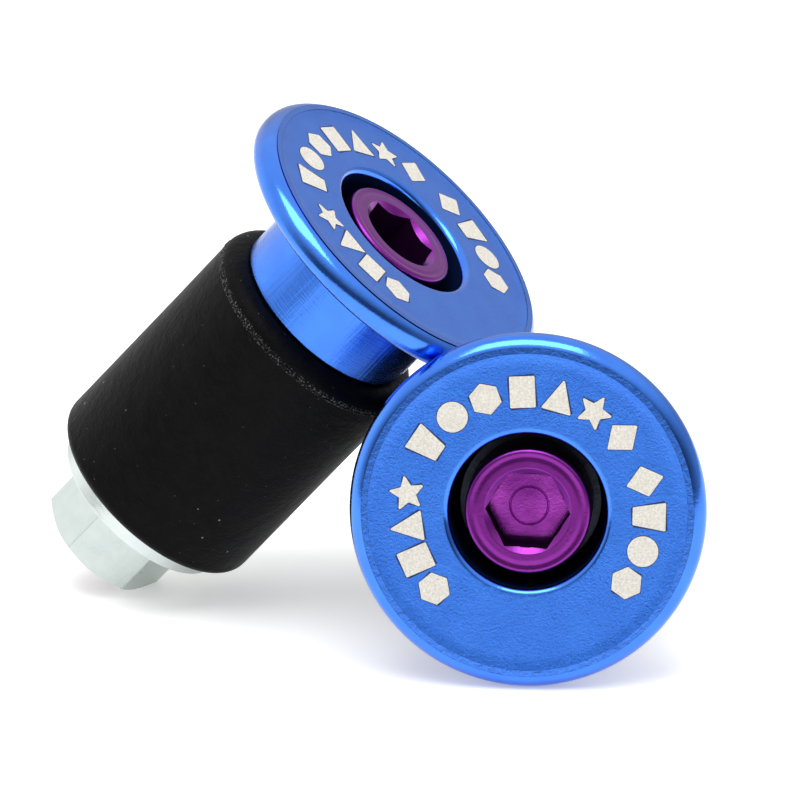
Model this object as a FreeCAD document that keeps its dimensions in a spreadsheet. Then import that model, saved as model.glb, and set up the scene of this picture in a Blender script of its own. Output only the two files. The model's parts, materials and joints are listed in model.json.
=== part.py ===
import FreeCAD, Part
import math
import os

import Sketcher
from FreeCAD import Placement, Rotation, Vector

# A pair of expanding plugs for the open ends of a handlebar.
#
# Each plug is a turned cap whose neck enters the bar, a hexagon-socket bolt in the
# cap's counterbore, a washer under the bolt's head, a rubber sleeve on the bolt, an
# end washer and a nut. Turning the bolt draws the nut towards the cap, and the
# sleeve is squeezed outwards against the bar's wall.
#
# The front plug lies on its disc rim and the far edge of its sleeve. The rear plug
# stands on its nut and leans its disc over the front plug's sleeve.
#
# Every piece is drawn in the plug's own frame: the origin is the centre of the
# disc's foremost plane, +Z runs along the bolt into the bar, and "depth" is the
# distance along +Z.

SIZES = [
    # alias, millimetres or degrees, meaning
    ("discRadius", 14.5, "outer radius of the cap's disc"),
    ("discThickness", 2.5, "disc, front plane to back face"),
    ("rimFrontRound", 1.5, "rounding of the disc's front edge"),
    ("rimBackRound", 0.95, "rounding of the disc's back edge"),
    ("faceRadius", 12.7, "radius of the recessed flat face"),
    ("faceDepth", 0.12, "recess of the flat face behind the rim"),
    ("faceStepRound", 0.1, "rounding of the step round the flat face"),
    ("wellRadius", 6.36, "counterbore for the bolt's head"),
    ("wellDepth", 7.37, "floor of the counterbore"),
    ("wellRound", 0.42, "rounding of the counterbore's mouth"),
    ("neckRadius", 8.15, "neck that enters the bar"),
    ("neckRootRound", 0.4, "fillet between the neck and the disc"),
    ("neckEndChamfer", 0.3, "chamfer at the neck's end"),
    ("neckEnd", 10.42, "depth of the neck's end"),
    ("capBoreRadius", 3.25, "clearance hole for the bolt"),
    ("headRadius", 5.13, "bolt head"),
    ("headDepth", 0.57, "front face of the bolt head"),
    ("headHeight", 5.8, "height of the bolt head"),
    ("headChamfer", 0.3, "chamfer on the head's front edge"),
    ("headLineRadius", 4.45, "radius of the turned line on the head"),
    ("headLineWidth", 0.2, "width of the turned line"),
    ("headLineDepth", 0.1, "depth of the turned line"),
    ("socketAcross", 6.0, "hexagon socket, across flats"),
    ("socketDepth", 3.0, "hexagon socket, depth"),
    ("socketMouthRadius", 3.55, "countersink at the socket's mouth"),
    ("socketConeDepth", 3.0, "depth of that countersink cone's apex"),
    ("socketRingRadius", 1.55, "ring line in the socket's floor"),
    ("socketRingWidth", 0.2, "width of that line"),
    ("socketRingDepth", 0.12, "depth of that line"),
    ("boltRadius", 3.0, "M6 thread, outer radius"),
    ("boltEnd", 41.37, "depth of the bolt's end"),
    ("boltEndChamfer", 0.6, "chamfer at the bolt's end"),
    ("headWasherRadius", 6.0, "washer under the bolt head"),
    ("headWasherBore", 3.2, "bore radius of that washer"),
    ("sleeveBore", 3.4, "bore radius of the rubber sleeve"),
    ("shoulderRadius", 9.75, "sleeve next to the cap"),
    ("shoulderRound", 1.6, "rounding of the sleeve's shoulder"),
    ("gripRadius", 9.7, "sleeve where the bar's wall is gripped"),
    ("gripStart", 18.9, "depth where the gripping length starts"),
    ("sleeveEnd", 33.12, "depth of the sleeve's far end"),
    ("sleeveEndRound", 0.9, "rounding of the sleeve's far edge"),
    ("endWasherRadius", 8.0, "washer between sleeve and nut"),
    ("endWasherBore", 3.2, "bore radius of that washer"),
    ("endWasherThickness", 1.6, "thickness of that washer"),
    ("washerEdgeRound", 0.2, "rounding of the washers' edges"),
    ("nutAcross", 10.0, "M6 nut, across flats"),
    ("nutHeight", 5.7, "height of the nut"),
    ("nutFaceRadius", 4.75, "flat circle left by the nut's corner chamfer"),
    ("nutChamferHeight", 0.6, "height of the corner chamfer at the corners"),
    ("nutBoreRadius", 3.05, "nut bore, a running fit over the thread"),
    ("frontHeading", -3.0, "turn of the front plug's face from -Y towards +X"),
    ("frontHexTurn", 2.9, "turn of the front plug's hexagon socket"),
    ("frontNutTurn", 12.0, "turn of the front plug's nut"),
    ("rearHeading", 72.0, "turn of the rear plug's face from -Y towards +X"),
    ("rearElevation", 48.2, "tilt of the rear plug's face above level"),
    ("rearHexTurn", 52.4, "turn of the rear plug's hexagon socket"),
    ("rearNutTurn", 15.0, "turn of the rear plug's nut"),
    ("rearShiftX", -9.9, "rear disc centre from the front disc centre, X"),
    ("rearShiftY", 17.0, "rear disc centre from the front disc centre, Y"),
]


def make_sheet(doc):
    """The driving sizes, one aliased cell each."""
    sheet = doc.addObject("Spreadsheet::Sheet", "Sizes")
    for row, (alias, value, meaning) in enumerate(SIZES, start=1):
        sheet.set(f"A{row}", meaning)
        sheet.set(f"B{row}", str(value))
        sheet.setAlias(f"B{row}", alias)
    doc.recompute()
    return sheet


def origin_plane(body, role):
    """One of the body's own origin planes."""
    return next(item for item in body.Origin.OriginFeatures if item.Role == role)


def size_of(doc, expression):
    """The value of an expression over the sheet's cells."""
    value = doc.Sizes.evalExpression(expression.replace("Sizes.", ""))
    return float(getattr(value, "Value", value))


def bind(sketch, constraint, name, expression):
    """Adds a named dimension that follows the sheet."""
    index = sketch.addConstraint(constraint)
    sketch.renameConstraint(index, name)
    sketch.setExpression(f"Constraints.{name}", expression)


def half_section(body, name, corners):
    """A closed outline through corners given as (radius, depth) expressions."""
    doc = body.Document
    sketch = body.newObject("Sketcher::SketchObject", name)
    sketch.AttachmentSupport = [(origin_plane(body, "XZ_Plane"), "")]
    sketch.MapMode = "FlatFace"
    points = [Vector(size_of(doc, r), size_of(doc, d), 0) for r, d in corners]
    count = len(points)
    for i, start in enumerate(points):
        sketch.addGeometry(Part.LineSegment(start, points[(i + 1) % count]), False)
    for i in range(count):
        sketch.addConstraint(Sketcher.Constraint("Coincident", i, 2, (i + 1) % count, 1))
    for i, (radius, depth) in enumerate(corners):
        if radius == "0":
            sketch.addConstraint(Sketcher.Constraint("PointOnObject", i, 1, -2))
        else:
            across = Sketcher.Constraint("DistanceX", -1, 1, i, 1, points[i].x)
            bind(sketch, across, f"radius{i}", radius)
        if depth == "0":
            sketch.addConstraint(Sketcher.Constraint("PointOnObject", i, 1, -1))
        else:
            along = Sketcher.Constraint("DistanceY", -1, 1, i, 1, points[i].y)
            bind(sketch, along, f"depth{i}", depth)
    return sketch


def turn(body, name, corners, kind="Revolution"):
    """Turns a half section about the plug's axis, as solid or as a cut."""
    sketch = half_section(body, name + "Outline", corners)
    feature = body.newObject(f"PartDesign::{kind}", name)
    feature.Profile = sketch
    feature.ReferenceAxis = (sketch, ["V_Axis"])
    feature.Angle = 360.0
    body.Document.recompute()
    return feature


def ring_edges(shape, radius, depth):
    """Names of the circular edges about the axis with this radius and depth."""
    found = []
    for number, edge in enumerate(shape.Edges, start=1):
        curve = edge.Curve
        if not isinstance(curve, Part.Circle):
            continue
        on_axis = math.hypot(curve.Center.x, curve.Center.y) < 1e-4
        same = abs(curve.Radius - radius) < 1e-3 and abs(curve.Center.z - depth) < 1e-3
        if on_axis and same:
            found.append(f"Edge{number}")
    return found


def dress(body, kind, name, size, radius, depth):
    """Rounds or chamfers the turned edge at (radius, depth)."""
    doc = body.Document
    base = body.Tip
    edges = ring_edges(base.Shape, size_of(doc, radius), size_of(doc, depth))
    if not edges:
        raise RuntimeError(f"{body.Label}: no edge for {name}")
    feature = body.newObject(f"PartDesign::{kind}", name)
    feature.Base = (base, edges)
    feature.setExpression("Radius" if kind == "Fillet" else "Size", size)
    doc.recompute()
    return feature


def hexagon(body, name, across, depth, corner_angle):
    """A hexagon sketch about the axis at a depth, one corner at corner_angle."""
    sketch = body.newObject("Sketcher::SketchObject", name)
    sketch.AttachmentSupport = [(origin_plane(body, "XY_Plane"), "")]
    sketch.MapMode = "FlatFace"
    sketch.setExpression("AttachmentOffset.Base.z", depth)
    sketch.setExpression("AttachmentOffset.Rotation.Angle", corner_angle)
    corner = size_of(body.Document, across) / math.sqrt(3)
    points = [Vector(corner * math.cos(math.radians(60 * i)),
                     corner * math.sin(math.radians(60 * i)), 0) for i in range(6)]
    for i in range(6):
        sketch.addGeometry(Part.LineSegment(points[i], points[(i + 1) % 6]), False)
    circle = sketch.addGeometry(Part.Circle(Vector(0, 0, 0), Vector(0, 0, 1), corner), True)
    for i in range(6):
        sketch.addConstraint(Sketcher.Constraint("Coincident", i, 2, (i + 1) % 6, 1))
        sketch.addConstraint(Sketcher.Constraint("PointOnObject", i, 1, circle))
        if i:
            sketch.addConstraint(Sketcher.Constraint("Equal", 0, i))
    sketch.addConstraint(Sketcher.Constraint("Coincident", circle, 3, -1, 1))
    sketch.addConstraint(Sketcher.Constraint("PointOnObject", 0, 1, -1))
    bind(sketch, Sketcher.Constraint("Radius", circle, corner), "cornerRadius",
         f"{across} / sqrt(3)")
    return sketch


def cut_into(body, name, sketch, depth):
    """Pockets a sketch along +Z, into the piece."""
    before = body.Tip.Shape.Volume
    feature = body.newObject("PartDesign::Pocket", name)
    feature.Profile = sketch
    feature.Reversed = True
    feature.setExpression("Length", depth)
    body.Document.recompute()
    if feature.Shape.Volume >= before:
        raise RuntimeError(f"{body.Label}: {name} cuts nothing")
    return feature


def new_body(doc, label):
    body = doc.addObject("PartDesign::Body", label)
    body.Label = label
    return body


def make_cap(doc, prefix):
    """Disc with a rounded rim, recessed face and counterbore, and the neck behind it."""
    body = new_body(doc, prefix + "cap")
    turn(body, "Turned", [
        ("Sizes.capBoreRadius", "Sizes.wellDepth"),
        ("Sizes.capBoreRadius", "Sizes.neckEnd"),
        ("Sizes.neckRadius", "Sizes.neckEnd"),
        ("Sizes.neckRadius", "Sizes.discThickness"),
        ("Sizes.discRadius", "Sizes.discThickness"),
        ("Sizes.discRadius", "0"),
        ("Sizes.faceRadius", "0"),
        ("Sizes.faceRadius", "Sizes.faceDepth"),
        ("Sizes.wellRadius", "Sizes.faceDepth"),
        ("Sizes.wellRadius", "Sizes.wellDepth"),
    ])
    dress(body, "Fillet", "NeckRoot", "Sizes.neckRootRound",
          "Sizes.neckRadius", "Sizes.discThickness")
    dress(body, "Fillet", "RimBack", "Sizes.rimBackRound",
          "Sizes.discRadius", "Sizes.discThickness")
    dress(body, "Fillet", "RimFront", "Sizes.rimFrontRound", "Sizes.discRadius", "0")
    dress(body, "Fillet", "FaceStep", "Sizes.faceStepRound", "Sizes.faceRadius", "0")
    dress(body, "Fillet", "WellMouth", "Sizes.wellRound",
          "Sizes.wellRadius", "Sizes.faceDepth")
    dress(body, "Chamfer", "NeckEnd", "Sizes.neckEndChamfer",
          "Sizes.neckRadius", "Sizes.neckEnd")
    return body


def make_bolt(doc, prefix):
    """Bolt with a cylindrical head and a hexagon socket; the thread is a plain rod."""
    body = new_body(doc, prefix + "bolt")
    head_end = "Sizes.headDepth + Sizes.headHeight"
    socket_floor = "Sizes.headDepth + Sizes.socketDepth"
    turn(body, "Turned", [
        ("0", "Sizes.headDepth"),
        ("Sizes.headRadius", "Sizes.headDepth"),
        ("Sizes.headRadius", head_end),
        ("Sizes.boltRadius", head_end),
        ("Sizes.boltRadius", "Sizes.boltEnd"),
        ("0", "Sizes.boltEnd"),
    ])
    dress(body, "Chamfer", "HeadEdge", "Sizes.headChamfer",
          "Sizes.headRadius", "Sizes.headDepth")
    dress(body, "Chamfer", "BoltTip", "Sizes.boltEndChamfer",
          "Sizes.boltRadius", "Sizes.boltEnd")
    outline = hexagon(body, "SocketOutline", "Sizes.socketAcross", "Sizes.headDepth",
                      f"Sizes.{prefix.rstrip('_')}HexTurn")
    cut_into(body, "Socket", outline, "Sizes.socketDepth")
    turn(body, "SocketMouth", [
        ("0", "Sizes.headDepth"),
        ("Sizes.socketMouthRadius", "Sizes.headDepth"),
        ("0", "Sizes.headDepth + Sizes.socketConeDepth"),
    ], "Groove")
    for name, face in (("headLine", "Sizes.headDepth"), ("socketRing", socket_floor)):
        inner = f"Sizes.{name}Radius - Sizes.{name}Width / 2"
        outer = f"Sizes.{name}Radius + Sizes.{name}Width / 2"
        floor = f"{face} + Sizes.{name}Depth"
        turn(body, name, [(inner, face), (outer, face), (outer, floor), (inner, floor)],
             "Groove")
    return body


def make_washer(doc, label, bore, radius, start, end):
    """Flat round washer from depth start to depth end, with broken edges."""
    body = new_body(doc, label)
    turn(body, "Turned", [(bore, start), (radius, start), (radius, end), (bore, end)])
    dress(body, "Fillet", "NearEdge", "Sizes.washerEdgeRound", radius, start)
    dress(body, "Fillet", "FarEdge", "Sizes.washerEdgeRound", radius, end)
    return body


def make_sleeve(doc, prefix):
    """Rubber sleeve, a little thicker at its rounded shoulder beside the cap."""
    body = new_body(doc, prefix + "rubber_sleeve")
    turn(body, "Moulded", [
        ("Sizes.sleeveBore", "Sizes.neckEnd"),
        ("Sizes.shoulderRadius", "Sizes.neckEnd"),
        ("Sizes.shoulderRadius", "Sizes.neckEnd + (Sizes.gripStart - Sizes.neckEnd) / 2"),
        ("Sizes.gripRadius", "Sizes.gripStart"),
        ("Sizes.gripRadius", "Sizes.sleeveEnd"),
        ("Sizes.sleeveBore", "Sizes.sleeveEnd"),
    ])
    dress(body, "Fillet", "Shoulder", "Sizes.shoulderRound",
          "Sizes.shoulderRadius", "Sizes.neckEnd")
    dress(body, "Fillet", "FarEdge", "Sizes.sleeveEndRound",
          "Sizes.gripRadius", "Sizes.sleeveEnd")
    return body


def make_nut(doc, prefix):
    """Hexagon nut with chamfered corners at both ends and a plain bore."""
    body = new_body(doc, prefix + "nut")
    start = "Sizes.sleeveEnd + Sizes.endWasherThickness"
    end = f"{start} + Sizes.nutHeight"
    corner = "Sizes.nutAcross / sqrt(3)"
    outline = hexagon(body, "NutOutline", "Sizes.nutAcross", start,
                      f"Sizes.{prefix.rstrip('_')}NutTurn")
    pad = body.newObject("PartDesign::Pad", "Prism")
    pad.Profile = outline
    pad.setExpression("Length", "Sizes.nutHeight")
    doc.recompute()
    for name, face, inward in (("Near", start, "+"), ("Far", end, "-")):
        turn(body, name + "Corners", [
            ("Sizes.nutFaceRadius", face),
            (f"{corner} + Sizes.nutChamferHeight", face),
            (f"{corner} + Sizes.nutChamferHeight", f"{face} {inward} Sizes.nutChamferHeight"),
            (corner, f"{face} {inward} Sizes.nutChamferHeight"),
        ], "Groove")
    turn(body, "Bore", [
        ("0", start),
        ("Sizes.nutBoreRadius", start),
        ("Sizes.nutBoreRadius", end),
        ("0", end),
    ], "Groove")
    return body


def make_plug(doc, prefix):
    """The six pieces of one plug, in the order they go onto the bolt."""
    head_end = "Sizes.headDepth + Sizes.headHeight"
    washer_end = "Sizes.sleeveEnd + Sizes.endWasherThickness"
    return [
        make_bolt(doc, prefix),
        make_washer(doc, prefix + "head_washer", "Sizes.headWasherBore",
                    "Sizes.headWasherRadius", head_end, "Sizes.wellDepth"),
        make_cap(doc, prefix),
        make_sleeve(doc, prefix),
        make_washer(doc, prefix + "end_washer", "Sizes.endWasherBore",
                    "Sizes.endWasherRadius", "Sizes.sleeveEnd", washer_end),
        make_nut(doc, prefix),
    ]


def plug_rotation(heading, elevation):
    """Turns the plug's +Z away from a face that looks along heading and elevation."""
    return (Rotation(Vector(0, 0, 1), heading)
            * Rotation(Vector(1, 0, 0), -(90.0 + elevation)))


def lying_elevation(doc):
    """Tilt at which a plug rests on both its rim and its sleeve's far edge."""
    sheet = doc.Sizes
    rim_round = sheet.rimFrontRound
    end_round = sheet.sleeveEndRound
    drop = (sheet.discRadius - rim_round) - (sheet.gripRadius - end_round)
    run = (sheet.sleeveEnd - end_round) - rim_round
    slope = math.atan2(drop, run)
    rounding = math.asin((rim_round - end_round) / math.hypot(drop, run))
    return math.degrees(slope + rounding)


def extent(bodies):
    """Exact bounding box of several bodies together."""
    return Part.makeCompound([b.Shape for b in bodies]).optimalBoundingBox(False, False)


def place(bodies, position, rotation):
    for body in bodies:
        body.Placement = Placement(position, rotation)


def set_down(doc, bodies, x, y, rotation):
    """Places a plug with its disc centre at (x, y) and its lowest point on the floor."""
    place(bodies, Vector(x, y, 0), rotation)
    doc.recompute()
    place(bodies, Vector(x, y, -extent(bodies).ZMin), rotation)
    doc.recompute()


def centre_pair(doc, plugs):
    """Moves the pair so that the origin is the middle of its footprint."""
    box = extent([body for plug in plugs for body in plug])
    middle = Vector((box.XMin + box.XMax) / 2, (box.YMin + box.YMax) / 2, box.ZMin)
    for bodies in plugs:
        placement = bodies[0].Placement
        place(bodies, placement.Base - middle, placement.Rotation)
    doc.recompute()


def check(doc, bodies):
    """Stops if a feature failed or a piece is not one valid solid."""
    for item in doc.Objects:
        if "Invalid" in item.State or "Error" in item.State:
            raise RuntimeError(f"{item.Label}: {item.State}")
    for body in bodies:
        shape = body.Shape
        if shape.isNull() or not shape.isValid() or len(shape.Solids) != 1:
            raise RuntimeError(f"{body.Label}: not one valid solid")


def main():
    doc = FreeCAD.newDocument("BarEndPlugs")
    sheet = make_sheet(doc)
    front = make_plug(doc, "front_")
    rear = make_plug(doc, "rear_")
    set_down(doc, front, 0, 0, plug_rotation(sheet.frontHeading, lying_elevation(doc)))
    set_down(doc, rear, sheet.rearShiftX, sheet.rearShiftY,
             plug_rotation(sheet.rearHeading, sheet.rearElevation))
    centre_pair(doc, [front, rear])
    check(doc, front + rear)
    os.makedirs("parts", exist_ok=True)
    for body in front + rear:
        body.Shape.exportStep(f"parts/{body.Label}.step")
        print(body.Label, round(body.Shape.Volume, 1))
    for bodies in (front, rear):
        print(bodies[0].Placement)
    print(extent(front + rear))


main()
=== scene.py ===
import json
import math

import bmesh
import bpy
from mathutils import Matrix, Vector, noise


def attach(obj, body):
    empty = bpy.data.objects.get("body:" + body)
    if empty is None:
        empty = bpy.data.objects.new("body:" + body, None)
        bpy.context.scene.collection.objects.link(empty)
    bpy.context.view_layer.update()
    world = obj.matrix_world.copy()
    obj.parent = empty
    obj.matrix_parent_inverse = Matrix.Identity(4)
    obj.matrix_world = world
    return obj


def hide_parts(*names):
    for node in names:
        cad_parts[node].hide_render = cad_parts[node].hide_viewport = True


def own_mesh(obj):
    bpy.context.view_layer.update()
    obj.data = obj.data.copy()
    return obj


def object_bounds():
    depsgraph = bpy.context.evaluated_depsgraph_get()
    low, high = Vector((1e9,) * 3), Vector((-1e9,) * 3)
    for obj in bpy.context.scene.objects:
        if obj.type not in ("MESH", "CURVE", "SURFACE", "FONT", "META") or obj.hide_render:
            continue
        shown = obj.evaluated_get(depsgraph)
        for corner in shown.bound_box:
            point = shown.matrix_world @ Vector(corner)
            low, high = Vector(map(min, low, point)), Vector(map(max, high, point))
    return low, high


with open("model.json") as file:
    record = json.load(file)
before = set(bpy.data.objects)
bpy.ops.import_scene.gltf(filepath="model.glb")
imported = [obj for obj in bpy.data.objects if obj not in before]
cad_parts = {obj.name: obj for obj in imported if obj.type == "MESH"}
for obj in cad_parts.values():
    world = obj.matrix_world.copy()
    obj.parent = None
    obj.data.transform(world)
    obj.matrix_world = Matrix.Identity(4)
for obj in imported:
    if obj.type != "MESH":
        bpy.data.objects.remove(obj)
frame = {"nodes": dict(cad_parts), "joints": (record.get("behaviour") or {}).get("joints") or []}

CAD_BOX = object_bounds()
SIDES = ("front", "rear")

# The visual model of two expanding bar-end plugs. Each piece's place, largest radius and
# ends are read from the CAD frame, and the constants here give the rest of its shape.

# Lengths are in millimetres down to the floor, light and camera. MM turns them into metres.
MM = 0.001

# Cap
DISC_THICKNESS = 2.5
RIM_FRONT_ROUND = 1.5
RIM_BACK_ROUND = 0.95
FACE_RADIUS = 12.7
FACE_DEPTH = 0.12
FACE_STEP_HALF = 0.42
FACE_STEP_ROUND = 5.0
WELL_RADIUS = 6.36
WELL_DEPTH = 7.37
WELL_MOUTH_ROUND = 0.6
WELL_FLOOR_ROUND = 0.3
NECK_RADIUS = 8.15
NECK_ROOT_ROUND = 0.4
NECK_END_ROUND = 0.3
CAP_BORE = 3.25
CAP_BORE_ROUND = 0.15
CAP_SEGMENTS = 288

# Bolt
HEAD_HEIGHT = 5.8
HEAD_ROUND = 0.35
HEAD_BACK_ROUND = 0.15
HEAD_LINE_RADIUS = 4.45
HEAD_LINE_WIDTH = 0.75
HEAD_LINE_DEPTH = 0.045
SOCKET_ACROSS = 6.0
SOCKET_DEPTH = 3.0
SOCKET_MOUTH = 3.55
SOCKET_CONE_DEPTH = 3.0
SOCKET_CORNER_ROUND = 0.12
SOCKET_RING_RADIUS = 1.55
SOCKET_RING_WIDTH = 0.2
SOCKET_RING_DEPTH = 0.12
SHANK_RADIUS = 2.98
SHANK_ROOT_ROUND = 0.2
SHANK_TIP_CHAMFER = 0.55

# Thread
THREAD_PITCH = 1.0
THREAD_HEIGHT = 0.55
THREAD_LENGTH = 19.0
THREAD_FLAT = 0.1        # share of half a pitch that is flat, at the crest and again at the root
THREAD_RINGS = 10        # rings of points in one pitch

# Nut
NUT_ACROSS = 10.0
NUT_FACE_RADIUS = 4.75
NUT_CHAMFER_SLOPE = 0.56
NUT_CORNER_ROUND = 0.25
NUT_BORE = 3.06
NUT_THREAD_HEIGHT = 0.25
NUT_MOUTH_CHAMFER = 0.35

# Sleeve and washers, each a hair short at both ends, so that no faces coincide
SEAT_GAP = 0.03
SLEEVE_BORE = 3.4
SLEEVE_BORE_ROUND = 0.3
SLEEVE_SEGMENTS = 540
SHOULDER_ROUND = 1.6
GRIP_FROM_START = 8.5
GRIP_DROP = 0.05
SLEEVE_END_ROUND = 0.9
WASHER_BORE = 3.2
WASHER_ROUND = 0.28
WASHER_BURR_ROUND = 0.08
WASHER_SEGMENTS = 192

# The two lines of flash round the sleeve's shoulder, and the close rings that carry them
FLASH_FROM_START = 1.45
FLASH_SPACING = 0.3
FLASH_WIDTH = 0.1
FLASH_HEIGHT = 0.12
FLASH_RINGS = 18
FLASH_RING_STEP = 0.045
FLASH_RINGS_BEFORE = 0.25

# Marks on the disc's face: groups of (count, first, last), as angles in degrees,
# clockwise from the right seen from the front
MARK_GROUPS = ((4, 139.5, 188.0), (7, 213.5, 320.5), (4, 344.0, 395.0))
MARK_TURN = {"front": 0.0, "rear": 21.0}
MARK_RADIUS = 9.85
MARK_SIZE = 2.8
MARK_CORNER_ROUND = 0.09
MARK_HEIGHT = 0.02
MARK_SINK = 0.01
MARK_EDGE = 0.06
MARK_EDGE_HEIGHT = 0.012


# ---------------------------------------------------------------- the plugs' own frames

def joint_named(name):
    return next(j for j in frame["joints"] if j["name"] == name)


def plug_matrix(side):
    """The plug's own frame: origin at the centre of the disc's front, Z into the bar.

    X and Y lie in the disc's face, and Y points down when it is seen from the front.
    """
    joint = joint_named(f"{side}_bolt_turn")
    depth = Vector(joint["axis"]).normalized()
    across = Vector((depth.y, -depth.x, 0.0)).normalized()
    down = depth.cross(across)
    pivot = Vector(joint["pos_m"])
    front = min((v.co - pivot).dot(depth) for v in frame["nodes"][f"{side}_cap"].data.vertices)
    matrix = Matrix((across, down, depth)).transposed().to_4x4()
    matrix.translation = pivot + depth * front
    return matrix


def local_points(side, part):
    """Vertices of a CAD node in its plug's frame, in millimetres."""
    to_local = PLUG[side].inverted()
    return [to_local @ v.co / MM for v in frame["nodes"][f"{side}_{part}"].data.vertices]


def reach(side, part):
    """Largest radius, start and end depth of a CAD node in its plug's frame."""
    points = local_points(side, part)
    depths = [p.z for p in points]
    return max(p.xy.length for p in points), min(depths), max(depths)


def corner_angle(points):
    """Angle of the point that is furthest from the axis."""
    corner = max(points, key=lambda p: p.xy.length)
    return math.atan2(corner.y, corner.x)


PLUG = {side: plug_matrix(side) for side in SIDES}


# ---------------------------------------------------------------- outlines

def arc(centre, radius, start, turn, steps):
    """Points of an arc from angle start, through turn, in radians."""
    return [(centre[0] + radius * math.cos(start + turn * k / steps),
             centre[1] + radius * math.sin(start + turn * k / steps)) for k in range(steps + 1)]


def rounded(corners, closed=True, steps=7, margin=0.04):
    """An outline through corners (a, b, round), each rounded by an arc.

    A point margin away from each arc's ends keeps the shading of the flats flat.
    """
    outline = []
    count = len(corners)
    for i, (a, b, radius) in enumerate(corners):
        here = Vector((a, b))
        if radius == 0 or (not closed and i in (0, count - 1)):
            outline.append((a, b))
            continue
        back = (Vector(corners[i - 1][:2]) - here).normalized()
        ahead = (Vector(corners[(i + 1) % count][:2]) - here).normalized()
        half = back.angle(ahead) / 2
        along = radius / math.tan(half)
        centre = here + (back + ahead).normalized() * radius / math.sin(half)
        first = here + back * along - centre
        start = math.atan2(first.y, first.x)
        turn = (math.pi - 2 * half) * (1 if back.x * ahead.y - back.y * ahead.x < 0 else -1)
        outline.append(tuple(here + back * (along + margin)))
        outline.extend(arc(centre, radius, start, turn, steps))
        outline.append(tuple(here + ahead * (along + margin)))
    return outline


def dense(outline, longest):
    """The closed outline with extra points where two are further apart than longest."""
    result = []
    for i, point in enumerate(outline):
        a, b = Vector(point), Vector(outline[(i + 1) % len(outline)])
        pieces = max(1, math.ceil((b - a).length / longest))
        result.extend(tuple(a.lerp(b, k / pieces)) for k in range(pieces))
    return result


def hexagon_radius(across, turn, corner_round):
    """Distance from the axis to a hexagon with rounded corners, as a function of the angle."""
    apothem = across / 2
    inner = (apothem - corner_round) / math.cos(math.pi / 6)

    def radius(angle):
        local = (angle - turn + math.pi / 6) % (math.pi / 3) - math.pi / 6
        flat = apothem / math.cos(math.pi / 6 - abs(local))
        offset = inner * math.sin(abs(local))
        if offset > corner_round:
            return flat
        on_round = inner * math.cos(local) + math.sqrt(corner_round ** 2 - offset ** 2)
        return min(flat, on_round)

    return radius


def hexagon_angles(turn, per_side=22, crowding=0.9):
    """Angles that crowd towards a hexagon's corners."""
    angles = []
    for corner in range(6):
        for k in range(per_side):
            share = k / per_side
            eased = share - math.sin(2 * math.pi * share) / (2 * math.pi) * crowding
            angles.append(turn + (corner + eased) * math.pi / 3)
    return angles


def circle_angles(count):
    return [2 * math.pi * k / count for k in range(count)]


# ---------------------------------------------------------------- mesh building

def ring(angles, radius, depth):
    """Points around the axis. Radius and depth are numbers or functions of the angle."""
    points = []
    for angle in angles:
        r = radius(angle) if callable(radius) else radius
        z = depth(angle) if callable(depth) else depth
        points.append(Vector((r * math.cos(angle), r * math.sin(angle), z)) * MM)
    return points


def turned_rings(outline, count):
    """Rings of count points through an outline of (radius, depth)."""
    angles = circle_angles(count)
    return [ring(angles, r, z) for r, z in outline]


def mesh_object(name, made):
    """Turns a finished bmesh into an object of the scene."""
    mesh = bpy.data.meshes.new(name)
    made.to_mesh(mesh)
    made.free()
    piece = bpy.data.objects.new(name, mesh)
    bpy.context.scene.collection.objects.link(piece)
    return piece


def skin(name, rings, closed=False, zones=None, sharp=50.0):
    """A mesh through rings of points, where a ring of one point is a pole.

    zones gives the material of each band between two rings, and an edge bent by
    more than sharp degrees is shaded sharp.
    """
    made = bmesh.new()
    rows = [[made.verts.new(p) for p in points] for points in rings]
    bands = len(rows) if closed else len(rows) - 1
    for i in range(bands):
        low, high = rows[i], rows[(i + 1) % len(rows)]
        for k in range(max(len(low), len(high))):
            corners = [low[k % len(low)], low[(k + 1) % len(low)],
                       high[(k + 1) % len(high)], high[k % len(high)]]
            unique = list(dict.fromkeys(corners))
            if len(unique) > 2:
                face = made.faces.new(unique)
                face.smooth = True
                face.material_index = zones[i] if zones else 0
    bmesh.ops.recalc_face_normals(made, faces=made.faces)
    for edge in made.edges:
        if len(edge.link_faces) == 2 and edge.calc_face_angle(0.0) > math.radians(sharp):
            edge.smooth = False
    return mesh_object(name, made)


def install(piece, side, part, body, materials, replaces=True):
    """Puts a finished piece in its plug's place on its body, and hides the CAD part that it
    replaces, if any.
    """
    for material in materials:
        piece.data.materials.append(material)
    piece.matrix_world = PLUG[side]
    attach(piece, f"{side}_{body}_body")
    if replaces:
        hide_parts(f"{side}_{part}")


# ---------------------------------------------------------------- materials

BLUE, DEEP_BLUE = (0.048, 0.21, 0.8), (0.041, 0.18, 0.73)
# Near-black navy for the bolt well in the cap: painted shade in the deep recess.
SHADE_NAVY, DEEPER_SHADE_NAVY = (0.003, 0.009, 0.04), (0.002, 0.006, 0.025)
PURPLE, DEEP_PURPLE = (0.22, 0.017, 0.28), (0.18, 0.013, 0.235)
# A lighter purple for the socket's floor: painted light, the floor lit brighter than the head.
PAINTED_LIGHT_PURPLE = (0.46, 0.06, 0.54)
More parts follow.
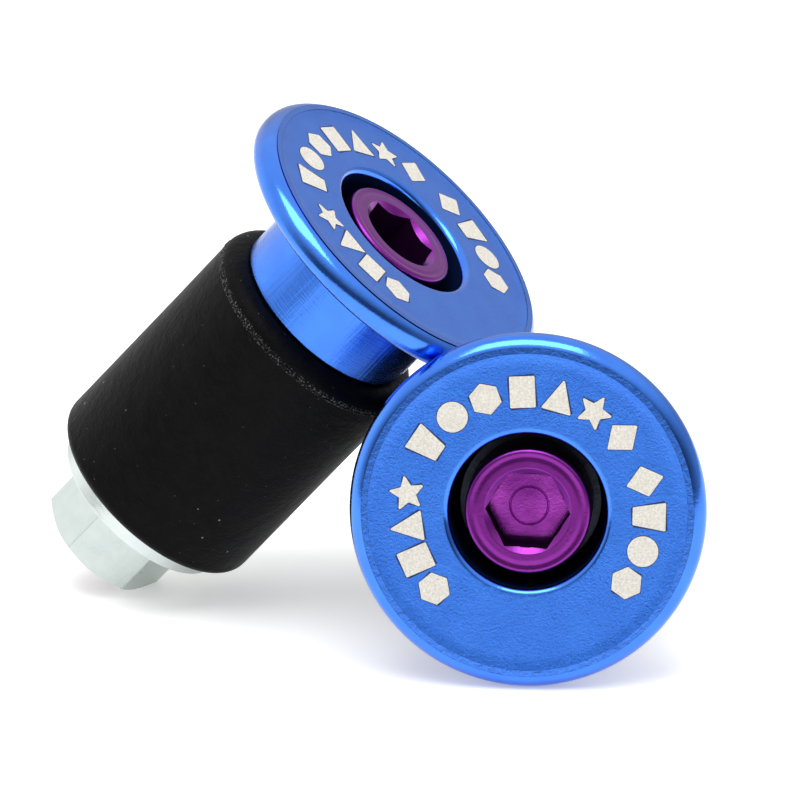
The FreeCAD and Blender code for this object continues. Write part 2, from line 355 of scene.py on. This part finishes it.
# Near-black plum for the socket's walls: painted shade inside the hexagon.
SHADE_PLUM, DEEPER_SHADE_PLUM = (0.012, 0.0015, 0.016), (0.008, 0.001, 0.011)
DULL_PURPLE, DULL_PLUM = (0.09, 0.01, 0.11), (0.05, 0.006, 0.065)
BARE_METAL = (0.75, 0.8, 0.9)
BLACK, WORN_BLACK = (0.002, 0.002, 0.0024), (0.004, 0.004, 0.0045)
DUST, FINE_DUST, TORN_RUBBER = (0.3, 0.3, 0.28), (0.09, 0.09, 0.09), (0.14, 0.14, 0.13)
DULL_ZINC, BRIGHT_ZINC = (0.5, 0.57, 0.56), (0.68, 0.72, 0.7)
DULL_NUT_ZINC, BRIGHT_NUT_ZINC = (0.42, 0.49, 0.48), (0.59, 0.63, 0.61)
# Near-black zinc for the washer under the head: painted shade in the dark gap round the head.
DULL_ZINC_SHADE, BRIGHT_ZINC_SHADE = (0.02, 0.025, 0.035), (0.05, 0.055, 0.07)
DULL_CHALK, BRIGHT_CHALK, PINHOLE = (0.52, 0.49, 0.42), (0.8, 0.78, 0.73), (0.2, 0.2, 0.2)
SCORCH, LIGHT_SCORCH = (0.015, 0.02, 0.06), (0.03, 0.06, 0.2)

# How far the drawn or turned lines are stretched along X, Y and Z
LINES_ACROSS = (0.15, 0.15, 3.0)
STREAKS_ALONG = (1.0, 1.0, 0.06)
NUT_BRUSHED = (1.0, 1.0, 0.12)
WASHER_BRUSHED = (0.5, 0.5, 1.0)


def node(tree, kind, inputs=None, **settings):
    """A shader node. inputs maps a socket to a value, or to the socket that feeds it."""
    made = tree.nodes.new(kind)
    for name, value in settings.items():
        setattr(made, name, value)
    for name, value in (inputs or {}).items():
        if isinstance(value, bpy.types.NodeSocket):
            tree.links.new(value, made.inputs[name])
        else:
            made.inputs[name].default_value = value
    return made


def new_material(name, **constants):
    """A material with its shader, and the texture coordinates of the piece's own frame."""
    material = bpy.data.materials.new(name)
    material.use_nodes = True
    tree = material.node_tree
    shader = tree.nodes["Principled BSDF"]
    for socket, value in constants.items():
        shader.inputs[socket.replace("_", " ")].default_value = value
    where = node(tree, "ShaderNodeTexCoord").outputs["Object"]
    return material, tree, shader, where


def noise_of(tree, where, size, detail=3.0, distortion=0.0, roughness=0.5):
    """Noise whose features are about size millimetres across."""
    inputs = {"Vector": where, "Scale": 1 / (size * MM), "Detail": detail,
              "Distortion": distortion, "Roughness": roughness}
    return node(tree, "ShaderNodeTexNoise", inputs).outputs["Fac"]


def stretched(tree, where, scale):
    mapping = node(tree, "ShaderNodeMapping", {"Vector": where, "Scale": scale})
    return mapping.outputs["Vector"]


def between(tree, value, low, high, start=0.0, end=1.0):
    """value taken from start..end to low..high."""
    inputs = {"Value": value, "From Min": start, "From Max": end, "To Min": low, "To Max": high}
    return node(tree, "ShaderNodeMapRange", inputs).outputs["Result"]


def mixed(tree, factor, first, second):
    """A colour from first to second as factor goes from 0 to 1."""
    made = node(tree, "ShaderNodeMix", {0: factor}, data_type="RGBA")
    for index, colour in ((6, first), (7, second)):
        if isinstance(colour, bpy.types.NodeSocket):
            tree.links.new(colour, made.inputs[index])
        else:
            made.inputs[index].default_value = (*colour, 1.0)
    return made.outputs[2]


def calculated(tree, operation, *values):
    inputs = dict(enumerate(values))
    return node(tree, "ShaderNodeMath", inputs, operation=operation).outputs[0]


def bumped(tree, shader, layers):
    """Bump from layers of (height, depth in millimetres), the first one at the bottom."""
    below = None
    for height, depth in layers:
        inputs = {"Height": height, "Distance": depth * MM, "Strength": 1.0}
        if below:
            inputs["Normal"] = below
        below = node(tree, "ShaderNodeBump", inputs).outputs["Normal"]
    tree.links.new(below, shader.inputs["Normal"])


def specks(tree, where, spacing, size, share):
    """1 on small scattered specks: one in a share of cells that are spacing apart."""
    cells = node(tree, "ShaderNodeTexVoronoi", {"Vector": where, "Scale": 1 / (spacing * MM)})
    rim, core = size / spacing, size / spacing * 0.4
    near = between(tree, cells.outputs["Distance"], 1.0, 0.0, core, rim)
    channels = node(tree, "ShaderNodeSeparateColor", {"Color": cells.outputs["Color"]})
    picked = calculated(tree, "LESS_THAN", channels.outputs["Red"], share)
    return calculated(tree, "MULTIPLY", near, picked)


def anodised(name, colour, deep, roughness, grain, grain_depth,
             anisotropic=0.0, coat=0.35, metallic=1.0):
    """Dyed aluminium: tinted metal under a clear film, with a fine grain and a few bare specks.

    An anisotropic surface is a turned one, and also gets the tool's fine lines.
    """
    material, tree, shader, where = new_material(
        name, Metallic=metallic, Specular_IOR_Level=0.5 * metallic, Coat_Weight=coat,
        Coat_Roughness=roughness * 0.8, Coat_IOR=1.55, Anisotropic=anisotropic)
    cloud = noise_of(tree, where, 3.0, detail=2.0)
    tint = mixed(tree, between(tree, cloud, 0.0, 1.0, 0.3, 0.7), deep, colour)
    bare = specks(tree, where, spacing=1.6, size=0.07, share=0.05)
    tree.links.new(mixed(tree, bare, tint, BARE_METAL), shader.inputs["Base Color"])
    patch = noise_of(tree, where, 1.2, detail=4.0)
    dull = between(tree, patch, roughness * 0.85, roughness * 1.2)
    tree.links.new(dull, shader.inputs["Roughness"])
    leather = noise_of(tree, where, grain, detail=3.0, distortion=0.6, roughness=0.6)
    layers = [(leather, grain_depth)]
    if anisotropic:
        tangent = node(tree, "ShaderNodeTangent", direction_type="RADIAL", axis="Z")
        tree.links.new(tangent.outputs["Tangent"], shader.inputs["Tangent"])
        lines = noise_of(tree, stretched(tree, where, LINES_ACROSS), 0.35, detail=4.0)
        streaks = noise_of(tree, stretched(tree, where, STREAKS_ALONG), 0.3, detail=3.0)
        layers = [(streaks, 0.04), (lines, 0.018)] + layers
    bumped(tree, shader, layers)
    return material


def rubber():
    """Moulded black rubber: dull, with a faint mottle, dust, small pits and torn flash."""
    material, tree, shader, where = new_material(
        "sleeve_rubber_mat", Metallic=0.0, Specular_IOR_Level=0.05)
    mottle = noise_of(tree, where, 1.5, detail=6.0, roughness=0.65)
    black = mixed(tree, between(tree, mottle, 0.0, 1.0, 0.35, 0.7), BLACK, WORN_BLACK)
    dust = specks(tree, where, spacing=1.3, size=0.11, share=0.25)
    fine = specks(tree, where, spacing=0.5, size=0.06, share=0.14)
    dusty = mixed(tree, fine, mixed(tree, dust, black, DUST), FINE_DUST)
    depth = node(tree, "ShaderNodeSeparateXYZ", {"Vector": where}).outputs["Z"]
    start = reach("front", "rubber_sleeve")[1]
    middle = start + FLASH_FROM_START + FLASH_SPACING / 2
    band = calculated(tree, "COMPARE", depth, middle * MM, FLASH_SPACING * MM)
    crumbs = between(tree, noise_of(tree, where, 0.14, detail=2.0), 0.0, 1.0, 0.55, 0.68)
    torn = calculated(tree, "MULTIPLY", band, crumbs)
    tree.links.new(mixed(tree, torn, dusty, TORN_RUBBER), shader.inputs["Base Color"])
    tree.links.new(between(tree, mottle, 0.35, 0.5), shader.inputs["Roughness"])
    grain = noise_of(tree, where, 0.22, detail=4.0, roughness=0.6)
    bumped(tree, shader, [(mottle, 0.15), (grain, 0.04), (dust, 0.06)])
    return material


def zinc(name, brushed, dull, bright):
    """Zinc plate with a cool cast, fine drawn lines and a cloudy finish."""
    material, tree, shader, where = new_material(name, Metallic=1.0, Anisotropic=0.2)
    cloud = noise_of(tree, where, 1.4, detail=5.0)
    tree.links.new(mixed(tree, cloud, dull, bright), shader.inputs["Base Color"])
    tree.links.new(between(tree, cloud, 0.2, 0.38), shader.inputs["Roughness"])
    lines = noise_of(tree, stretched(tree, where, brushed), 0.3, detail=4.0)
    pits = noise_of(tree, where, 0.12, detail=2.0)
    bumped(tree, shader, [(lines, 0.02), (pits, 0.008)])
    return material


def mark_white():
    """The lasered marks: a matt, chalky off-white with a fine speckle."""
    material, tree, shader, where = new_material(
        "mark_white_mat", Metallic=0.0, Specular_IOR_Level=0.3)
    speckle = noise_of(tree, where, 0.16, detail=4.0, roughness=0.7)
    chalk = mixed(tree, between(tree, speckle, 0.0, 1.0, 0.3, 0.7), DULL_CHALK, BRIGHT_CHALK)
    pinholes = specks(tree, where, spacing=0.6, size=0.06, share=0.15)
    tree.links.new(mixed(tree, pinholes, chalk, PINHOLE), shader.inputs["Base Color"])
    tree.links.new(between(tree, speckle, 0.5, 0.8), shader.inputs["Roughness"])
    bumped(tree, shader, [(speckle, 0.03)])
    return material


def mark_edge():
    """The thin dark line round each mark, where the dye was scorched."""
    material, tree, shader, where = new_material("mark_edge_mat", Metallic=0.6, Roughness=0.5)
    scorch = noise_of(tree, where, 0.3, detail=4.0)
    tree.links.new(mixed(tree, scorch, SCORCH, LIGHT_SCORCH), shader.inputs["Base Color"])
    bumped(tree, shader, [(scorch, 0.008)])
    return material


BLUE_FACE = anodised("anodised_blue_face", BLUE, DEEP_BLUE, roughness=0.31,
                     grain=0.2, grain_depth=0.07, coat=0.25)
BLUE_RIM = anodised("anodised_blue_rim", BLUE, DEEP_BLUE, roughness=0.15,
                    grain=0.5, grain_depth=0.01)
BLUE_TURNED = anodised("anodised_blue_turned", BLUE, DEEP_BLUE, roughness=0.25,
                       grain=0.3, grain_depth=0.003, anisotropic=0.5)
# The bolt well: a near-black, non-metal navy that paints the shade in the deep recess.
BLUE_WELL_PAINTED_SHADE = anodised("anodised_blue_well_painted_shade", SHADE_NAVY, DEEPER_SHADE_NAVY, roughness=0.4,
                     grain=0.4, grain_depth=0.02, coat=0.03, metallic=0.0)
PURPLE_TURNED = anodised("anodised_purple_turned", PURPLE, DEEP_PURPLE, roughness=0.28,
                         grain=0.25, grain_depth=0.015, coat=0.25)
# The socket's floor: a lighter purple than the head, painted light.
PURPLE_FLOOR_PAINTED_LIGHT = anodised("anodised_purple_floor_painted_light", PAINTED_LIGHT_PURPLE, PURPLE, roughness=0.2,
                        grain=0.25, grain_depth=0.008, coat=0.2)
# The socket's walls: a near-black, non-metal plum that paints the shade inside the hexagon.
PURPLE_SOCKET_PAINTED_SHADE = anodised("anodised_purple_socket_painted_shade", SHADE_PLUM, DEEPER_SHADE_PLUM, roughness=0.5,
                         grain=0.3, grain_depth=0.02, coat=0.0, metallic=0.0)
PURPLE_THREAD = anodised("anodised_purple_thread", DULL_PURPLE, DULL_PLUM, roughness=0.5,
                         grain=0.3, grain_depth=0.02, coat=0.0)
RUBBER = rubber()
ZINC_NUT = zinc("zinc_nut", NUT_BRUSHED, DULL_NUT_ZINC, BRIGHT_NUT_ZINC)
ZINC_WASHER = zinc("zinc_washer", WASHER_BRUSHED, DULL_ZINC, BRIGHT_ZINC)
# The washer under the head: near-black zinc, painted shade in the gap round the head.
ZINC_PAINTED_SHADE = zinc("zinc_painted_shade", WASHER_BRUSHED, DULL_ZINC_SHADE, BRIGHT_ZINC_SHADE)
MARK_WHITE = mark_white()
MARK_DARK = mark_edge()


# ---------------------------------------------------------------- the pieces

def make_cap(side):
    """The disc, neck and bolt well in one turned piece."""
    disc_radius, _, neck_end = reach(side, "cap")
    step_outer, step_inner = FACE_RADIUS + FACE_STEP_HALF, FACE_RADIUS - FACE_STEP_HALF
    corners = [
        (CAP_BORE, neck_end, CAP_BORE_ROUND),
        (NECK_RADIUS, neck_end, NECK_END_ROUND),
        (NECK_RADIUS, DISC_THICKNESS, NECK_ROOT_ROUND),
        (disc_radius, DISC_THICKNESS, RIM_BACK_ROUND),
        (disc_radius, 0.0, RIM_FRONT_ROUND),
        (step_outer, 0.0, FACE_STEP_ROUND),
        (step_inner, FACE_DEPTH, FACE_STEP_ROUND),
        (WELL_RADIUS, FACE_DEPTH, WELL_MOUTH_ROUND),
        (WELL_RADIUS, WELL_DEPTH, WELL_FLOOR_ROUND),
        (CAP_BORE, WELL_DEPTH, CAP_BORE_ROUND),
    ]
    outline = dense(rounded(corners, margin=0.02), longest=0.8)
    face, rim, turned, well = range(4)

    def zone(r, z):
        """Material of the band whose middle is at radius r and depth z."""
        if r < WELL_RADIUS + 0.05 and z > FACE_DEPTH + WELL_MOUTH_ROUND * 0.8:
            return well
        if z > DISC_THICKNESS - RIM_BACK_ROUND:
            return turned
        return face if r < step_outer and z < FACE_DEPTH + 0.01 else rim

    zones = []
    for i, point in enumerate(outline):
        middle = (Vector(point) + Vector(outline[(i + 1) % len(outline)])) / 2
        zones.append(zone(middle.x, middle.y))
    rings = turned_rings(outline, CAP_SEGMENTS)
    piece = skin(f"{side}_turned_cap", rings, closed=True, zones=zones)
    # The well takes the near-black material: painted shade.
    install(piece, side, "cap", "cap",
            [BLUE_FACE, BLUE_RIM, BLUE_TURNED, BLUE_WELL_PAINTED_SHADE])


def thread_radius(crest, height, depth, angle, hand=1):
    """Radius of a V thread at a depth and angle.

    hand is -1 where the grooves are cut outwards, in a nut.
    """
    share = (depth / THREAD_PITCH - angle / (2 * math.pi)) % 1.0
    ramp = abs(2 * share - 1)
    flank = (ramp - THREAD_FLAT) / (1 - 2 * THREAD_FLAT)
    return crest - hand * height * min(1.0, max(0.0, flank))


def threaded_rings(angles, start, tip):
    """The bolt's thread, with a run-out at its start and a chamfered tip."""
    steps = round((tip - start) * THREAD_RINGS / THREAD_PITCH)
    rings = []
    for k in range(1, steps + 1):
        depth = start + (tip - start) * k / steps
        run_in = min(1.0, (depth - start) / THREAD_PITCH)
        tip_limit = SHANK_RADIUS - max(0.0, depth - (tip - SHANK_TIP_CHAMFER))

        def radius(angle):
            threaded = thread_radius(SHANK_RADIUS, THREAD_HEIGHT * run_in, depth, angle)
            return min(threaded, tip_limit)

        rings.append(ring(angles, radius, depth))
    return rings


def make_bolt(side):
    """The socket-head bolt: head with a soft turned line, hexagon socket, shank and thread.

    The rings run from the middle of the socket's floor, over the head, to the tip.
    """
    head_radius, head_depth, tip = reach(side, "bolt")
    head_end = head_depth + HEAD_HEIGHT
    thread_start = tip - THREAD_LENGTH
    floor = head_depth + SOCKET_DEPTH
    on_floor = [p for p in local_points(side, "bolt")
                if abs(p.z - floor) < 0.02 and p.xy.length < SOCKET_MOUTH]
    turn = corner_angle(on_floor)
    angles = hexagon_angles(turn)
    hexagon = hexagon_radius(SOCKET_ACROSS, turn, SOCKET_CORNER_ROUND)

    def cone_depth(angle):
        """Depth at which the cone of the socket's mouth meets the hexagon."""
        slope = SOCKET_CONE_DEPTH / SOCKET_MOUTH
        return head_depth + (SOCKET_MOUTH - hexagon(angle)) * slope

    # Floor, with a shallow round groove
    ring_inner = SOCKET_RING_RADIUS - SOCKET_RING_WIDTH / 2
    ring_outer = SOCKET_RING_RADIUS + SOCKET_RING_WIDTH / 2
    rings = [[Vector((0, 0, floor)) * MM]]
    rings.extend(ring(angles, r, floor) for r in (0.5, 1.0))
    for k in range(9):
        share = k / 8
        dip = SOCKET_RING_DEPTH * math.sin(math.pi * share)
        rings.append(ring(angles, ring_inner + (ring_outer - ring_inner) * share, floor + dip))
    for share in (0.3, 0.6, 0.9, 1.0):
        rings.append(ring(
            angles, lambda angle: ring_outer + (hexagon(angle) - ring_outer) * share, floor))
    walls_from = len(rings) - 1

    # Walls, then the cone of the mouth
    for share in (0.04, 0.35, 0.7, 0.97, 1.0):
        rings.append(ring(
            angles, hexagon, lambda angle: floor + (cone_depth(angle) - floor) * share))
    walls_to = len(rings) - 1
    for share in (0.12, 0.5, 0.88, 1.0):
        rings.append(ring(
            angles, lambda angle: hexagon(angle) + (SOCKET_MOUTH - hexagon(angle)) * share,
            lambda angle: cone_depth(angle) + (head_depth - cone_depth(angle)) * share))

    # Top of the head, with its turned line
    line_inner = HEAD_LINE_RADIUS - HEAD_LINE_WIDTH / 2
    rings.extend(ring(angles, r, head_depth) for r in (SOCKET_MOUTH + 0.05, line_inner - 0.1))
    for k in range(11):
        share = k / 10
        dip = HEAD_LINE_DEPTH * (1 - math.cos(2 * math.pi * share)) / 2
        rings.append(ring(angles, line_inner + HEAD_LINE_WIDTH * share, head_depth + dip))

    # Side of the head, shank and thread
    side_outline = rounded([
        (HEAD_LINE_RADIUS + HEAD_LINE_WIDTH / 2, head_depth, 0),
        (head_radius, head_depth, HEAD_ROUND),
        (head_radius, head_end, HEAD_BACK_ROUND),
        (SHANK_RADIUS, head_end, SHANK_ROOT_ROUND),
        (SHANK_RADIUS, thread_start, 0),
    ], closed=False, margin=0.02)
    rings.extend(ring(angles, r, z) for r, z in side_outline[1:])
    shank_from = len(rings) - 2
    rings.extend(threaded_rings(angles, thread_start, tip))
    rings.append([Vector((0, 0, tip)) * MM])

    # The socket's floor takes a lighter purple, painted light, and its walls a near-black plum,
    # painted shade.
    floor_zone, wall_zone, head_zone, thread_zone = range(4)
    zones = [floor_zone] * walls_from
    zones += [wall_zone] * (walls_to - walls_from)
    zones += [head_zone] * (shank_from - walls_to)
    zones += [thread_zone] * (len(rings) - 1 - shank_from)
    piece = skin(f"{side}_socket_bolt", rings, zones=zones)
    install(piece, side, "bolt", "bolt",
            [PURPLE_FLOOR_PAINTED_LIGHT, PURPLE_SOCKET_PAINTED_SHADE, PURPLE_TURNED, PURPLE_THREAD])


def make_sleeve(side):
    """The rubber sleeve, with the ragged flash that the mould leaves round its shoulder."""
    radius, start, end = reach(side, "rubber_sleeve")
    start, end = start + SEAT_GAP, end - SEAT_GAP
    grip = radius - GRIP_DROP
    corners = [
        (SLEEVE_BORE, start, SLEEVE_BORE_ROUND),
        (radius, start, SHOULDER_ROUND),
        (grip, start + GRIP_FROM_START, 0),
        (grip, end, SLEEVE_END_ROUND),
        (SLEEVE_BORE, end, SLEEVE_BORE_ROUND),
    ]
    outline = dense(rounded(corners, steps=12), longest=0.7)

    # Close rings take the place of the outline's points where the flash is
    flash = start + FLASH_FROM_START
    first = flash - FLASH_RINGS_BEFORE
    fine = [(radius, first + FLASH_RING_STEP * k) for k in range(FLASH_RINGS)]
    outside = grip - 1
    clear_from, clear_to = first - 0.05, first + FLASH_RING_STEP * FLASH_RINGS
    outline = [p for p in outline if not (p[0] > outside and clear_from < p[1] < clear_to)]
    place = next(i for i, p in enumerate(outline) if p[0] > outside and p[1] > flash)
    outline[place:place] = fine

    def shoulder(depth):
        """Radius of the smooth shape at a depth."""
        into = SHOULDER_ROUND - (depth - start)
        if into <= 0:
            return radius
        return radius - SHOULDER_ROUND + math.sqrt(SHOULDER_ROUND ** 2 - into ** 2)

    def flash_rise(angle, depth):
        """Height of the flash: two ragged lines, broken here and there."""
        rise = 0.0
        for line, wander in ((0.0, 3.1), (FLASH_SPACING, 7.7)):
            spot = Vector((math.cos(angle), math.sin(angle), wander))
            middle = flash + line + 0.06 * noise.noise(spot * 9.0)
            coarse = max(0.0, noise.noise(spot * 55.0) + 0.35)
            torn = coarse + 0.6 * max(0.0, noise.noise(spot * 140.0))
            away = (depth - middle) / (FLASH_WIDTH / 2)
            rise += FLASH_HEIGHT * torn * math.exp(-away ** 2)
        return min(rise, FLASH_HEIGHT * 1.3)

    angles = circle_angles(SLEEVE_SEGMENTS)
    rings = []
    for r, z in outline:
        if (r, z) in fine:
            rings.append(ring(
                angles, lambda angle: shoulder(z) - 0.02 + flash_rise(angle, z), z))
        else:
            rings.append(ring(angles, r, z))
    piece = skin(f"{side}_moulded_sleeve", rings, closed=True)
    install(piece, side, "rubber_sleeve", "cap", [RUBBER])
    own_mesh(piece)


def make_washer(side, part, body, material):
    """A stamped washer: one edge pulled round by the punch, the other nearly sharp."""
    radius, start, end = reach(side, part)
    start, end = start + SEAT_GAP, end - SEAT_GAP
    corners = [
        (WASHER_BORE, start, WASHER_ROUND),
        (WASHER_BORE, end, WASHER_BURR_ROUND),
        (radius, end, WASHER_BURR_ROUND),
        (radius, start, WASHER_ROUND),
    ]
    outline = dense(rounded(corners, margin=0.02), longest=0.7)
    rings = turned_rings(outline, WASHER_SEGMENTS)
    piece = skin(f"{side}_stamped_{part}", rings, closed=True)
    install(piece, side, part, body, [material])


def make_nut(side):
    """The hexagon nut: corners cut back by a chamfer cone, threaded bore."""
    _, start, end = reach(side, "nut")
    turn = corner_angle(local_points(side, "nut"))
    angles = hexagon_angles(turn)
    hexagon = hexagon_radius(NUT_ACROSS, turn, NUT_CORNER_ROUND)
    mouth = NUT_BORE + NUT_MOUTH_CHAMFER

    def cut(angle):
        """How far the chamfer cuts down the corners."""
        return max(0.0, (hexagon(angle) - NUT_FACE_RADIUS) * NUT_CHAMFER_SLOPE)

    def chamfer_radius(share):
        """Radius at a share of the way from the flat face to the hexagon."""
        return lambda angle: NUT_FACE_RADIUS + (hexagon(angle) - NUT_FACE_RADIUS) * share

    rings = [ring(angles, r, start) for r in (mouth, mouth + 0.1, NUT_FACE_RADIUS)]
    for share in (0.1, 0.5, 0.92, 1.0):
        rings.append(ring(
            angles, chamfer_radius(share), lambda angle: start + cut(angle) * share))
    for share in (0.03, 0.25, 0.5, 0.75, 0.97):
        rings.append(ring(
            angles, hexagon,
            lambda angle: start + cut(angle) + (end - start - 2 * cut(angle)) * share))
    for share in (1.0, 0.92, 0.5, 0.1):
        rings.append(ring(
            angles, chamfer_radius(share), lambda angle: end - cut(angle) * share))
    rings.extend(ring(angles, r, end) for r in (NUT_FACE_RADIUS, mouth + 0.1, mouth))

    inner_start, inner_end = start + NUT_MOUTH_CHAMFER, end - NUT_MOUTH_CHAMFER
    steps = round((inner_end - inner_start) * THREAD_RINGS / THREAD_PITCH)
    for k in range(steps + 1):
        depth = inner_end - (inner_end - inner_start) * k / steps
        rings.append(ring(
            angles, lambda angle: thread_radius(
                NUT_BORE, NUT_THREAD_HEIGHT, depth, angle, hand=-1), depth))
    piece = skin(f"{side}_hexagon_nut", rings, closed=True)
    install(piece, side, "nut", "nut", [ZINC_NUT])


# ---------------------------------------------------------------- marks

def polygon(count, turn=0.0, radius=0.5):
    return [(radius * math.cos(turn + 2 * math.pi * k / count),
             radius * math.sin(turn + 2 * math.pi * k / count)) for k in range(count)]


def star(points, inner=0.26, outer=0.56):
    return [((outer, inner)[k % 2] * math.sin(math.pi * k / points),
             -(outer, inner)[k % 2] * math.cos(math.pi * k / points)) for k in range(2 * points)]


# The marks' shapes in units of MARK_SIZE: oblong, disc, diamond, triangle, hexagon, wedge and star
SHAPES = (
    [(-0.37, -0.46), (0.37, -0.46), (0.37, 0.46), (-0.37, 0.46)],
    polygon(40, radius=0.45),
    [(0.0, -0.56), (0.46, 0.0), (0.0, 0.56), (-0.46, 0.0)],
    [(-0.45, 0.46), (0.0, -0.52), (0.45, 0.46)],
    polygon(6, math.pi / 6, 0.48),
    [(-0.42, -0.48), (0.42, -0.48), (0.26, 0.48), (-0.26, 0.48)],
    star(5),
)


def grown(points, by):
    """The outline moved outwards by a distance, corners kept."""
    result = []
    for i, point in enumerate(points):
        here = Vector(point)
        before = (here - Vector(points[i - 1])).normalized()
        after = (Vector(points[(i + 1) % len(points)]) - here).normalized()
        outward = Vector((before.y + after.y, -before.x - after.x)).normalized()
        share = max(0.35, outward.dot(Vector((after.y, -after.x))))
        result.append(tuple(here + outward * by / share))
    return result


def anticlockwise(points):
    area = sum(points[i - 1][0] * p[1] - p[0] * points[i - 1][1] for i, p in enumerate(points))
    return points if area > 0 else points[::-1]


def soften(points, radius):
    """Rounds an outline's corners. A disc's outline has none."""
    if len(points) >= 20:
        return points
    return rounded([(*p, radius) for p in points], steps=3, margin=0.0)


def make_marks(side, name, grow, height, material):
    """Thin plates on the face, one for each mark."""
    made = bmesh.new()
    index = 0
    for count, first, last in MARK_GROUPS:
        for k in range(count):
            angle = math.radians(first + (last - first) * k / (count - 1) + MARK_TURN[side])
            outward = Vector((math.cos(angle), math.sin(angle)))
            along = Vector((-outward.y, outward.x))
            chosen = SHAPES[(index * 3 + count) % len(SHAPES)]
            shape = [(x * MARK_SIZE, y * MARK_SIZE) for x, y in chosen]
            outline = grown(soften(anticlockwise(shape), MARK_CORNER_ROUND), grow)
            flat = [outward * (MARK_RADIUS - y) + along * x for x, y in outline]
            top = [made.verts.new(Vector((*p, FACE_DEPTH - height)) * MM) for p in flat]
            base = [made.verts.new(Vector((*p, FACE_DEPTH + MARK_SINK)) * MM) for p in flat]
            made.faces.new(top)
            made.faces.new(base[::-1])
            for i in range(len(flat)):
                made.faces.new((top[i - 1], base[i - 1], base[i], top[i]))
            index += 1
    bmesh.ops.recalc_face_normals(made, faces=made.faces)
    piece = mesh_object(name, made)
    install(piece, side, "cap", "cap", [material], replaces=False)


for side in SIDES:
    make_cap(side)
    make_bolt(side)
    make_sleeve(side)
    # The head washer gets the near-black zinc: painted shade.
    make_washer(side, "head_washer", "cap", ZINC_PAINTED_SHADE)
    make_washer(side, "end_washer", "nut", ZINC_WASHER)
    make_nut(side)
    make_marks(side, f"{side}_marks", 0.0, MARK_HEIGHT, MARK_WHITE)
    make_marks(side, f"{side}_mark_edges", MARK_EDGE, MARK_EDGE_HEIGHT, MARK_DARK)


# ---------------------------------------------------------------- floor, light and camera

# Lengths from here on are in metres
OBJECT_MIDDLE = (CAD_BOX[0] + CAD_BOX[1]) / 2
FLOOR_HALF = 1.5
FLOOR_COLOUR = (0.93, 0.93, 0.92, 1.0)
FLOOR_GLOW = (1.0, 0.99, 0.97, 1.0)
FLOOR_GLOW_STRENGTH = 0.33        # lifts the shadows, as the photo's lit table does
ROOM_SIDES = (0.62, 0.62, 0.62)
ROOM_LEFT = (1.5, 1.5, 1.5)
ROOM_BEHIND_CAMERA = (0.16, 0.16, 0.17)
ROOM_CEILING = (1.15, 1.15, 1.15)
CAMERA_DISTANCE = 0.8
CAMERA_AZIMUTH = math.radians(0.27)
CAMERA_ELEVATION = math.radians(17.8)
CAMERA_AIM = Vector((0.0, 0.0, 0.020))
CAMERA_AIM_RIGHT = 0.002113
CAMERA_AIM_DOWN = 0.002049
CAMERA_LENS = 435.96
CAMERA_SENSOR = 36.0


def make_floor():
    made = bmesh.new()
    bmesh.ops.create_grid(made, x_segments=8, y_segments=8, size=FLOOR_HALF)
    floor = mesh_object("floor", made)
    material, _, shader, _ = new_material("floor_mat", Roughness=0.6)
    shader.inputs["Base Color"].default_value = FLOOR_COLOUR
    shader.inputs["Emission Color"].default_value = FLOOR_GLOW
    shader.inputs["Emission Strength"].default_value = FLOOR_GLOW_STRENGTH
    floor.data.materials.append(material)


def make_world():
    """A white room, dimmer round the horizon and dimmest behind the camera."""
    world = bpy.data.worlds.new("studio")
    bpy.context.scene.world = world
    world.use_nodes = True
    tree = world.node_tree
    where = node(tree, "ShaderNodeTexCoord").outputs["Generated"]
    axes = node(tree, "ShaderNodeSeparateXYZ", {"Vector": where})
    left = between(tree, axes.outputs["X"], 1.0, 0.0, -0.9, -0.2)
    behind_camera = between(tree, axes.outputs["Y"], 1.0, 0.0, -0.75, 0.1)
    height = between(tree, axes.outputs["Z"], 0.0, 1.0, 0.3, 0.75)
    sides = mixed(tree, left, ROOM_SIDES, ROOM_LEFT)
    horizon = mixed(tree, behind_camera, sides, ROOM_BEHIND_CAMERA)
    background = tree.nodes["Background"]
    tree.links.new(mixed(tree, height, horizon, ROOM_CEILING), background.inputs["Color"])
    background.inputs["Strength"].default_value = 1.0


def softbox(name, direction, distance, width, height, radiance):
    """A rectangular light that faces the middle of the object."""
    light = bpy.data.lights.new(name, "AREA")
    light.shape = "RECTANGLE"
    light.size = width
    light.size_y = height
    light.energy = radiance * math.pi * width * height
    lamp = bpy.data.objects.new(name, light)
    bpy.context.scene.collection.objects.link(lamp)
    towards = Vector(direction).normalized()
    lamp.location = OBJECT_MIDDLE + towards * distance
    lamp.rotation_mode = "QUATERNION"
    lamp.rotation_quaternion = towards.to_track_quat("Z", "Y")


def make_camera():
    """A long lens from the front, looking down on the pair."""
    level = math.cos(CAMERA_ELEVATION)
    forward = Vector((-math.sin(CAMERA_AZIMUTH) * level, math.cos(CAMERA_AZIMUTH) * level,
                      -math.sin(CAMERA_ELEVATION)))
    right = Vector((math.cos(CAMERA_AZIMUTH), math.sin(CAMERA_AZIMUTH), 0.0))
    up = right.cross(forward)
    aim = CAMERA_AIM + right * CAMERA_AIM_RIGHT - up * CAMERA_AIM_DOWN
    camera = bpy.data.cameras.new("camera")
    camera.lens = CAMERA_LENS
    camera.sensor_width = CAMERA_SENSOR
    camera.clip_start, camera.clip_end = 0.01, 20.0
    rig = bpy.data.objects.new("camera", camera)
    bpy.context.scene.collection.objects.link(rig)
    rig.matrix_world = Matrix((right, up, -forward)).transposed().to_4x4()
    rig.location = aim - forward * CAMERA_DISTANCE
    bpy.context.scene.camera = rig


make_floor()
make_world()
softbox("key", direction=(-0.05, -0.31, 0.95), distance=0.5, width=0.38, height=0.3, radiance=4.0)
make_camera()
bpy.context.scene.view_settings.view_transform = "Standard"
